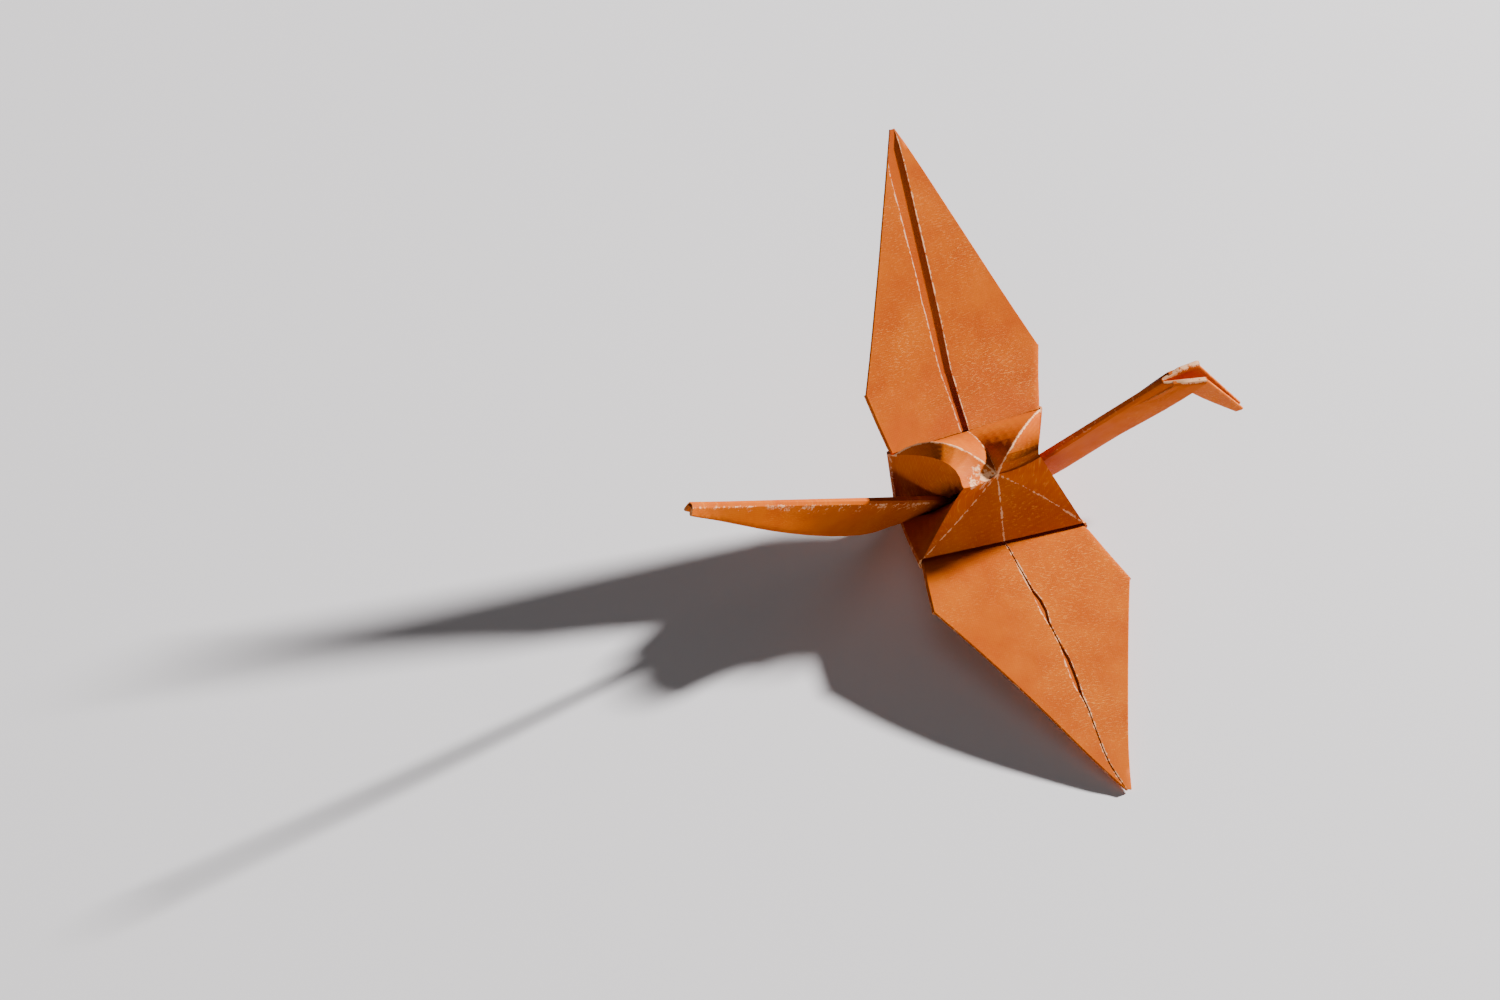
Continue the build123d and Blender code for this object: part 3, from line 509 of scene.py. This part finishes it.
    for l in "tn":
        for s in "nf":
            K = m.v[L["K", l, s]]
            L["ridge", l, s] = [m.add(lag(O, ridge_mid[l + s], K, i / N)) for i in range(1, N)] + [L["K", l, s]]
    for s in "nf":
        mm = m.v[L["m", s]]
        L["wv", s] = [m.add(lag(O, vmid[s], mm, i / N)) for i in range(1, N)] + [L["m", s]]
        for l in "tn":
            K = m.v[L["K", l, s]]
            L["walltop", l, s] = fan(L["ridge", l, s], L["wv", s], lambda u: lerp(K, mm, u), "hump", puff=0.12 if s == "f" else 0.0)
        wall = L["wall", s]
        m.zipper(L["walltop", "t", s] + L["walltop", "n", s][::-1][1:], wall[1], "hump")
    for l in "tn":
        cols = []
        for i in range(1, N + 1):
            t = i / N
            c = lerp(O, V[l], t) - np.array((0, 0, 0.35 * 4 * t * (1 - t)))
            wd = 0.05 + 0.17 * t
            cols.append([m.add(c + np.array((0, o, -0.03 * t if abs(o) < wd * 0.9 else 0))) for o in (-wd, -wd / 3, wd / 3, wd)])
        for j in range(3):
            m.tri(ov, cols[0][j], cols[0][j + 1], "hump")
        m.grid(cols, "hump")
        sp, ew, ez = frame(l, HALF)
        gn_, gf_, sp_ = L["leg", l, "n", "G1"][-1][2], L["leg", l, "f", "G1"][-1][2], L["spine", l]
        bq = [m.add(m.v[gn_] + ez * 0.13 - ew * 0.05), m.add(m.v[sp_[1][-1]] - ew * 0.14 + ez * 0.02),
              m.add(m.v[sp_[2][-1]] - ew * 0.14 - ez * 0.02), m.add(m.v[gf_] - ez * 0.13 - ew * 0.05)]
        v2 = cols[-1]
        vall = [v2] + [[m.add(lerp(m.v[v2[j]], m.v[bq[j]], t)) for j in range(4)] for t in (1 / 3, 2 / 3)] + [bq]
        m.grid(vall, "gusset")
        L["bq", l] = bq
        for s, col in (("n", 0), ("f", 3)):
            K = m.v[L["K", l, s]]
            vv = m.v[v2[col]]
            rm = np.array(rim_mid[l + s], float)
            rim = fan(L["ridge", l, s], [c[col] for c in cols], lambda u: lag(K, rm, vv, u), "hump", puff=0.1)
            cr = L["g1c", l, s][::-1]
            ce = [vall[i][col] for i in range(4)]
            rows = [rim]
            for i in (1, 2):
                t = (1 - i / 3) ** 2
                r = [cr[i]]
                for j in range(1, N):
                    u = j / N
                    r.append(m.add(lerp(m.v[cr[i]], m.v[ce[i]], u) + (m.v[rim[j]] - lerp(K, vv, u)) * t))
                rows.append(r + [ce[i]])
            m.grid(rows, "gusset")
            last = [cr[3], m.add(lerp(m.v[cr[3]], m.v[ce[3]], 0.5)), ce[3]]
            m.zipper(rows[-1], last, "gusset")
            L["gb", l, s] = last
    # reverse folds at the roots of tail and neck
    for l in "tn":
        b = L["gb", l, "n"] + [L["bq", l][1], L["bq", l][2]] + L["gb", l, "f"][::-1]
        gn, gf, sp_ = L["leg", l, "n", "G1"][-1], L["leg", l, "f", "G1"][-1], L["spine", l]
        a = [gn[0], gn[1], gn[2], sp_[1][-1], sp_[2][-1], gf[2], gf[1], gf[0]]
        dn = unit(np.array((-sx[l] * 0.5, 0.15, -0.8)))
        m.strip(b, a, [dn * 0.12] * 3 + [dn * 0.08] * 2 + [dn * 0.12] * 3, 3, "fold", 0.2)

        def perp(ia, ib, e):
            o = []
            for i, j in zip(ia, ib):
                sv = unit(m.v[j] - m.v[i])
                o.append(unit(dn - sv * (dn @ sv)) * e)
            return o
        for s in "nf":
            for lay, e in (("G4", 0.34), ("F4", 0.47), ("F1", 0.72)):
                bl = L["line", l, s, lay]
                lg = L["leg", l, s, lay][-1]
                mb = m.add(lerp(m.v[bl[0]], m.v[bl[1]], 0.5))
                m.split(bl[0], bl[1], mb)
                b3 = [bl[0], mb, bl[1]]
                m.strip(b3, [lg[0], lg[1], lg[2]], perp(b3, lg, e), 4, "hid")
    m.lines = L
    return m, plates


def refine(m, size):
    """Split every edge longer than its smallest neighbour's size, until none is left."""
    v, at, lab = [p for p in m.v], [a for a in m.at], list(m.lab)
    f, tag = list(m.f), list(m.tag)
    for _ in range(7):
        want = {}
        for t, g in zip(f, tag):
            h = size[g]
            for i in range(3):
                k = (t[i], t[(i + 1) % 3]) if t[i] < t[(i + 1) % 3] else (t[(i + 1) % 3], t[i])
                if k not in want or want[k] > h:
                    want[k] = h
        keys = np.array(list(want.keys()))
        hs = np.array(list(want.values()))
        va = np.array(v)
        ln = np.linalg.norm(va[keys[:, 0]] - va[keys[:, 1]], axis=1)
        cut = {}
        for k in keys[ln > hs]:
            a, b = int(k[0]), int(k[1])
            cut[(a, b)] = len(v)
            v.append((v[a] + v[b]) / 2)
            at.append((at[a] + at[b]) / 2)
            la, lb = lab[a], lab[b]
            lab.append((la[0], (la[1] + lb[1]) / 2, (la[2] + lb[2]) / 2) if la and lb and la[0] == lb[0] else None)
        if not cut:
            break
        nf, nt = [], []
        for t, g in zip(f, tag):
            mids = []
            for i in range(3):
                a, b = t[i], t[(i + 1) % 3]
                mids.append(cut.get((a, b) if a < b else (b, a)))
            n = sum(k is not None for k in mids)
            if n == 0:
                nf.append(t)
                nt.append(g)
            elif n == 3:
                a, b, c = t
                x, y, w = mids
                nf += [(a, x, w), (x, b, y), (w, y, c), (x, y, w)]
                nt += [g] * 4
            elif n == 1:
                i = [k is not None for k in mids].index(True)
                a, b, c = t[i], t[(i + 1) % 3], t[(i + 2) % 3]
                x = mids[i]
                nf += [(a, x, c), (x, b, c)]
                nt += [g] * 2
            else:
                i = [k is not None for k in mids].index(False)
                a, b, c = t[i], t[(i + 1) % 3], t[(i + 2) % 3]
                y, w = mids[(i + 1) % 3], mids[(i + 2) % 3]
                if np.linalg.norm(v[a] - v[y]) < np.linalg.norm(v[b] - v[w]):
                    nf += [(a, b, y), (a, y, w), (y, c, w)]
                else:
                    nf += [(a, b, w), (b, y, w), (y, c, w)]
                nt += [g] * 3
        f, tag = nf, nt
    return np.array(v), np.array(at), lab, np.array(f), tag


def seat(v):
    """The body's lower corners and the leg roots pressed up to the surface that the sheet stands on."""
    v = v.copy()
    low = -SINK
    k = np.clip((3.4 - v[:, 2]) / (3.4 - low), 0, 1.2) ** 2 * SINK
    w = np.clip((v[:, 1] + 2.6) / 4.0, 0, 1)
    v[:, 2] += k * w * w * (3 - 2 * w)
    return v


def wind_alike(faces):
    edges = defaultdict(list)
    for i, f in enumerate(faces):
        for j in range(3):
            edges[tuple(sorted((int(f[j]), int(f[(j + 1) % 3]))))].append(i)
    faces = [[int(k) for k in f] for f in faces]
    seen = {0}
    queue = deque([0])
    while queue:
        i = queue.popleft()
        f = faces[i]
        for j in range(3):
            a, b = f[j], f[(j + 1) % 3]
            for k in edges[tuple(sorted((a, b)))]:
                if k in seen:
                    continue
                g = faces[k]
                if any((g[n], g[(n + 1) % 3]) == (a, b) for n in range(3)):
                    faces[k] = g[::-1]
                seen.add(k)
                queue.append(k)
    assert len(seen) == len(faces)
    return np.array(faces)


def thicken(points, faces, thickness):
    p = [points[faces[:, j]] for j in range(3)]
    fn = np.cross(p[1] - p[0], p[2] - p[0])
    fn /= np.maximum(np.linalg.norm(fn, axis=1, keepdims=True), 1e-12)
    normal = np.zeros_like(points)
    for j in range(3):
        u = p[(j + 1) % 3] - p[j]
        w = p[(j + 2) % 3] - p[j]
        u = u / np.maximum(np.linalg.norm(u, axis=1, keepdims=True), 1e-12)
        w = w / np.maximum(np.linalg.norm(w, axis=1, keepdims=True), 1e-12)
        angle = np.arccos(np.clip((u * w).sum(1), -1, 1))
        np.add.at(normal, faces[:, j], fn * angle[:, None])
    normal /= np.maximum(np.linalg.norm(normal, axis=1, keepdims=True), 1e-12)
    lean = np.ones(len(points))
    for j in range(3):
        np.minimum.at(lean, faces[:, j], (normal[faces[:, j]] * fn).sum(1))
    offset = normal * (thickness / 2 / np.clip(lean, 0.72, 1))[:, None]
    n = len(points)
    use = Counter(tuple(sorted((int(f[j]), int(f[(j + 1) % 3])))) for f in faces for j in range(3))
    out = [tuple(int(i) for i in f) for f in faces]
    out += [tuple(int(i) + n for i in f[::-1]) for f in faces]
    rim = []
    for f in faces:
        for j in range(3):
            a, b = int(f[j]), int(f[(j + 1) % 3])
            if use[tuple(sorted((a, b)))] == 1:
                rim += [(b, a, a + n), (b, a + n, b + n)]
    return np.vstack([points + offset, points - offset]), out, rim


# ---------------------------------------------------------------------------
# The visible sheet
# ---------------------------------------------------------------------------
MM = 0.001
SHIFT = np.array((1.6382934577235968, 1.1962720249941032, 0.06108353160883009))   # to the solid's origin



def line_distance(p, line):
    best = np.full(len(p), 1e9)
    line = np.array(line, float)
    for a, b in zip(line[:-1], line[1:]):
        ab = b - a
        t = np.clip(((p - a) @ ab) / (ab @ ab), 0, 1)
        best = np.minimum(best, np.linalg.norm(p - (a + t[:, None] * ab), axis=1))
    return best


web, plates = folded_sheet()
V, AT, LAB, F, TAG = refine(web, dict(wing=0.8, hump=0.30, gusset=0.8, leg=0.8, fold=1.2, under=2.0, hid=3.0, wall=1.5))
V = seat(V)

# Worn creases on the hump: its ridges and valleys, with a half width and a strength; then rubbed spots
middle = np.array(HUMP_TOP)
CREASES = []
for leg in "tn":
    for side in "nf":
        ridge = [middle] + [web.v[i] for i in web.lines["ridge", leg, side]]
        CREASES.append((ridge, 0.16, 0.58 if side == "f" else 0.42))
for side in "nf":
    CREASES.append(([middle] + [web.v[i] for i in web.lines["wv", side]], 0.14, 0.46))
CREASES.append(([(-3.38, 4.9, 12.47), (-2.2, 3.3, 12.5), (-0.98, 1.69, 12.31)], 0.12, 0.6))
CREASES.append(([middle, lerp(middle, (-4.0, -0.2, 11.6), 0.6)], 0.13, 0.5))
open_t = np.array((-3.77, -1.1, 12.3))
ABRADED = [(lerp(middle, open_t, 0.30), 1.15, 0.56), (lerp(middle, open_t, 0.65), 1.0, 0.50),
           (lerp(middle, open_t, 0.45) + np.array((0.2, 0.9, 0.3)), 0.9, 0.48), (middle, 0.25, 0.8)]

hump = np.zeros(len(V), bool)
for f, t in zip(F, TAG):
    if t == "hump":
        hump[list(f)] = True
wear = AT[:, 2].copy()
hp = V[hump]
w = np.zeros(len(hp))
for line, half, strength in CREASES:
    w = np.maximum(w, strength * np.exp(-(line_distance(hp, line) / half) ** 2))
for c, r, strength in ABRADED:
    w = np.maximum(w, strength * np.exp(-(np.linalg.norm(hp - np.array(c), axis=1) / r) ** 2))
wear[hump] = np.maximum(wear[hump], w)

F = wind_alike(F)
P, SKIN, RIM = thicken(V, F, THICK)
P = (P + SHIFT) * MM

mesh = bpy.data.meshes.new("origami_crane_paper")
mesh.from_pydata([tuple(q) for q in P.tolist()], [], SKIN + RIM)
mesh.update()
n = len(V)
loops = np.empty(len(mesh.loops), dtype=np.int32)
mesh.loops.foreach_get("vertex_index", loops)
uv = mesh.uv_layers.new(name="flat")
uvs = np.vstack([AT[:, :2], AT[:, :2]])[loops] * 0.01
uv.data.foreach_set("uv", uvs.astype(np.float32).ravel())
# wear is the real crease wear; the second attribute carries the painted shade for the gap between the seams
for name, values in (("wear", wear), ("painted_gap_shade", AT[:, 3])):
    layer = mesh.attributes.new(name, "FLOAT", "POINT")
    layer.data.foreach_set("value", np.concatenate([values, values]).astype(np.float32))
index = np.zeros(len(SKIN) + len(RIM), dtype=np.int32)
index[len(SKIN):] = 1
mesh.polygons.foreach_set("material_index", index)
mesh.polygons.foreach_set("use_smooth", np.ones(len(index), dtype=bool))
mesh.set_sharp_from_angle(angle=math.radians(24))
crane = bpy.data.objects.new("crane_sheet", mesh)
bpy.context.scene.collection.objects.link(crane)


# ---------------------------------------------------------------------------
# Materials
# ---------------------------------------------------------------------------
def srgb(r, g, b):
    return tuple(((c / 255) / 12.92 if c / 255 <= 0.04045 else ((c / 255 + 0.055) / 1.055) ** 2.4) for c in (r, g, b)) + (1.0,)


class Nodes:
    def __init__(self, mat):
        mat.use_nodes = True
        self.t = mat.node_tree
        self.t.nodes.clear()

    def new(self, kind, **props):
        node = self.t.nodes.new(kind)
        for k, val in props.items():
            setattr(node, k, val)
        return node

    def link(self, a, b):
        self.t.links.new(a, b)

    def math(self, op, a, b=None, clamp=False):
        node = self.new("ShaderNodeMath", operation=op, use_clamp=clamp)
        for i, val in enumerate((a, b)):
            if val is None:
                continue
            if isinstance(val, (int, float)):
                node.inputs[i].default_value = val
            else:
                self.link(val, node.inputs[i])
        return node.outputs[0]

    def ramp(self, fac, lo, hi, a=0.0, b=1.0):
        node = self.new("ShaderNodeMapRange", clamp=True)
        self.link(fac, node.inputs[0])
        for i, val in enumerate((lo, hi, a, b)):
            node.inputs[i + 1].default_value = val
        return node.outputs[0]

    def mix(self, fac, a, b, mode="MIX"):
        node = self.new("ShaderNodeMix", data_type="RGBA", blend_type=mode)
        if isinstance(fac, (int, float)):
            node.inputs[0].default_value = fac
        else:
            self.link(fac, node.inputs[0])
        for i, val in ((6, a), (7, b)):
            if isinstance(val, tuple):
                node.inputs[i].default_value = val
            else:
                self.link(val, node.inputs[i])
        return node.outputs[2]

    def noise(self, vec, scale, detail=2.0, rough=0.5, stretch=None, dist=0.0):
        if stretch:
            m = self.new("ShaderNodeMapping")
            m.inputs["Scale"].default_value = stretch[0]
            m.inputs["Rotation"].default_value = (0, 0, math.radians(stretch[1]))
            self.link(vec, m.inputs["Vector"])
            vec = m.outputs[0]
        node = self.new("ShaderNodeTexNoise")
        node.inputs["Scale"].default_value = scale
        node.inputs["Detail"].default_value = detail
        node.inputs["Roughness"].default_value = rough
        node.inputs["Distortion"].default_value = dist
        self.link(vec, node.inputs["Vector"])
        return node.outputs[0]


def paper_material():
    mat = bpy.data.materials.new("orange_paper")
    k = Nodes(mat)
    out = k.new("ShaderNodeOutputMaterial")
    bsdf = k.new("ShaderNodeBsdfPrincipled")
    k.link(bsdf.outputs[0], out.inputs[0])
    uvn = k.new("ShaderNodeUVMap", uv_map="flat").outputs[0]        # 1 unit = 100 mm of sheet
    obj = k.new("ShaderNodeTexCoord").outputs["Object"]              # metres
    wear = k.new("ShaderNodeAttribute", attribute_name="wear").outputs["Fac"]
    # attribute that carries the painted shade for the gap between the seams
    painted_gap_shade = k.new("ShaderNodeAttribute", attribute_name="painted_gap_shade").outputs["Fac"]

    base = k.mix(k.ramp(k.noise(obj, 260, 3, 0.55), 0.35, 0.68), (0.39, 0.062, 0.0, 1), (0.465, 0.093, 0.0, 1))
    # printed dots: a fine square screen turned by 45 degrees
    sep = k.new("ShaderNodeSeparateXYZ")
    rot = k.new("ShaderNodeMapping")
    rot.inputs["Rotation"].default_value = (0, 0, math.radians(38))
    rot.inputs["Scale"].default_value = (1, 1, 1)
    k.link(uvn, rot.inputs["Vector"])
    k.link(rot.outputs[0], sep.inputs[0])
    pitch = 0.0030
    sx_ = k.math("SINE", k.math("MULTIPLY", sep.outputs[0], 2 * math.pi / pitch))
    sy_ = k.math("SINE", k.math("MULTIPLY", sep.outputs[1], 2 * math.pi / pitch))
    dots = k.ramp(k.math("MULTIPLY", sx_, sy_), -0.2, 0.9)
    base = k.mix(k.math("MULTIPLY", dots, 0.18), base, (0.56, 0.16, 0.002, 1))
    # short pale fibres lying in the sheet
    fib = k.noise(uvn, 160, 2, 0.6, ((1.0, 5.5, 1.0), 28))
    fib2 = k.noise(uvn, 190, 2, 0.6, ((1.0, 5.0, 1.0), -52))
    fibre = k.math("MAXIMUM", k.ramp(fib, 0.58, 0.68), k.ramp(fib2, 0.59, 0.69))
    patch = k.ramp(k.noise(obj, 90, 2, 0.5), 0.38, 0.66)
    fibre = k.math("MULTIPLY", fibre, patch)
    base = k.mix(k.math("MULTIPLY", fibre, 0.6), base, (0.72, 0.27, 0.05, 1))
    # painted shade: a deeper, darker colour painted into the narrow gap between the panels, where shade falls in the
    # trough
    base = k.mix(k.math("MULTIPLY", painted_gap_shade, 0.5), base, (0.34, 0.045, 0.0, 1))
    # white flecks where the print has cracked off the creases
    crack = k.noise(obj, 2600, 3, 0.7)
    crack2 = k.noise(obj, 900, 2, 0.6)
    amount = k.math("ADD", k.math("MULTIPLY", crack, 0.62), k.math("MULTIPLY", crack2, 0.38))
    edge = k.math("SUBTRACT", k.math("ADD", amount, k.math("MULTIPLY", wear, 0.50)), 0.64)
    worn = k.ramp(edge, 0.0, 0.07)
    worn = k.math("MULTIPLY", worn, k.ramp(wear, 0.08, 0.3))
    base = k.mix(k.math("MULTIPLY", worn, 0.75), base, (0.85, 0.50, 0.28, 1))
    k.link(base, bsdf.inputs["Base Color"])
    rough = k.math("ADD", k.ramp(k.noise(obj, 700, 3, 0.6), 0.3, 0.7, 0.55, 0.70), k.math("MULTIPLY", worn, 0.2), True)
    rough = k.math("SUBTRACT", rough, k.math("MULTIPLY", fibre, 0.16), True)
    k.link(rough, bsdf.inputs["Roughness"])
    bsdf.inputs["Specular IOR Level"].default_value = 0.04
    bsdf.inputs["Sheen Weight"].default_value = 0.0
    bsdf.inputs["Sheen Roughness"].default_value = 0.4
    # paper tooth and fibres
    height = k.math("ADD", k.math("MULTIPLY", k.noise(obj, 3800, 3, 0.65), 0.5), k.math("MULTIPLY", fibre, 0.6))
    height = k.math("ADD", height, k.math("MULTIPLY", k.noise(obj, 420, 2, 0.5), 1.1))
    height = k.math("SUBTRACT", height, k.math("MULTIPLY", worn, 0.5))
    bump = k.new("ShaderNodeBump")
    bump.inputs["Strength"].default_value = 0.35
    bump.inputs["Distance"].default_value = 0.00006
    k.link(height, bump.inputs["Height"])
    k.link(bump.outputs[0], bsdf.inputs["Normal"])
    return mat


def core_material():
    mat = bpy.data.materials.new("cut_edge")
    k = Nodes(mat)
    out = k.new("ShaderNodeOutputMaterial")
    bsdf = k.new("ShaderNodeBsdfPrincipled")
    k.link(bsdf.outputs[0], out.inputs[0])
    obj = k.new("ShaderNodeTexCoord").outputs["Object"]
    col = k.mix(k.ramp(k.noise(obj, 1500, 2, 0.6), 0.38, 0.62), (0.70, 0.36, 0.15, 1), (0.52, 0.13, 0.01, 1))
    k.link(col, bsdf.inputs["Base Color"])
    bsdf.inputs["Roughness"].default_value = 0.85
    return mat


def floor_material():
    mat = bpy.data.materials.new("pale_floor")
    k = Nodes(mat)
    out = k.new("ShaderNodeOutputMaterial")
    bsdf = k.new("ShaderNodeBsdfPrincipled")
    k.link(bsdf.outputs[0], out.inputs[0])
    bsdf.inputs["Base Color"].default_value = (0.78, 0.765, 0.79, 1)
    bsdf.inputs["Roughness"].default_value = 0.9
    bsdf.inputs["Specular IOR Level"].default_value = 0.2
    return mat


mesh.materials.append(paper_material())
mesh.materials.append(core_material())
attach(crane, "root")
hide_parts("origami_crane")

# ---------------------------------------------------------------------------
# Floor, light and camera
# ---------------------------------------------------------------------------
bpy.ops.mesh.primitive_plane_add(size=3.0, location=(0, 0, 0))
floor = bpy.context.object
floor.name = "floor"
floor.data.materials.append(floor_material())


def area_light(name, direction, distance, size, power, colour):
    data = bpy.data.lights.new(name, "AREA")
    data.shape = "DISK"
    data.size = size
    data.energy = power
    data.color = colour
    lamp = bpy.data.objects.new(name, data)
    bpy.context.scene.collection.objects.link(lamp)
    d = Vector(direction).normalized()
    lamp.location = d * distance + Vector((0, 0, 0.01))
    lamp.rotation_euler = (-d).to_track_quat("-Z", "Y").to_euler()
    return lamp


area_light("key", (2.672, 0.483, 1.0), 1.6, 0.11, 128.0, (1.0, 0.985, 0.965))
area_light("overhead", (-0.1, 0.1, 1.0), 1.5, 1.2, 1.2, (0.93, 0.94, 1.0))
area_light("fill", (-1.0, -2.0, 0.20), 1.3, 0.5, 9.0, (1.0, 0.90, 0.80))

world = bpy.data.worlds.new("studio")
world.use_nodes = True
world.node_tree.nodes["Background"].inputs[0].default_value = (0.84, 0.84, 0.92, 1)
world.node_tree.nodes["Background"].inputs[1].default_value = 0.035
bpy.context.scene.world = world

cam_data = bpy.data.cameras.new("camera")
cam_data.sensor_width = 36.0
cam_data.lens = 72.004
cam_data.clip_start = 0.01
cam_data.clip_end = 20.0
cam = bpy.data.objects.new("camera", cam_data)
bpy.context.scene.collection.objects.link(cam)
cam.location = tuple((np.array((-93.153, -181.628, 226.856)) + SHIFT) * MM)
cam.rotation_euler = (math.radians(90 - 47.2147), 0.0, math.radians(-20.4))
bpy.context.scene.camera = cam

bpy.context.view_layer.update()
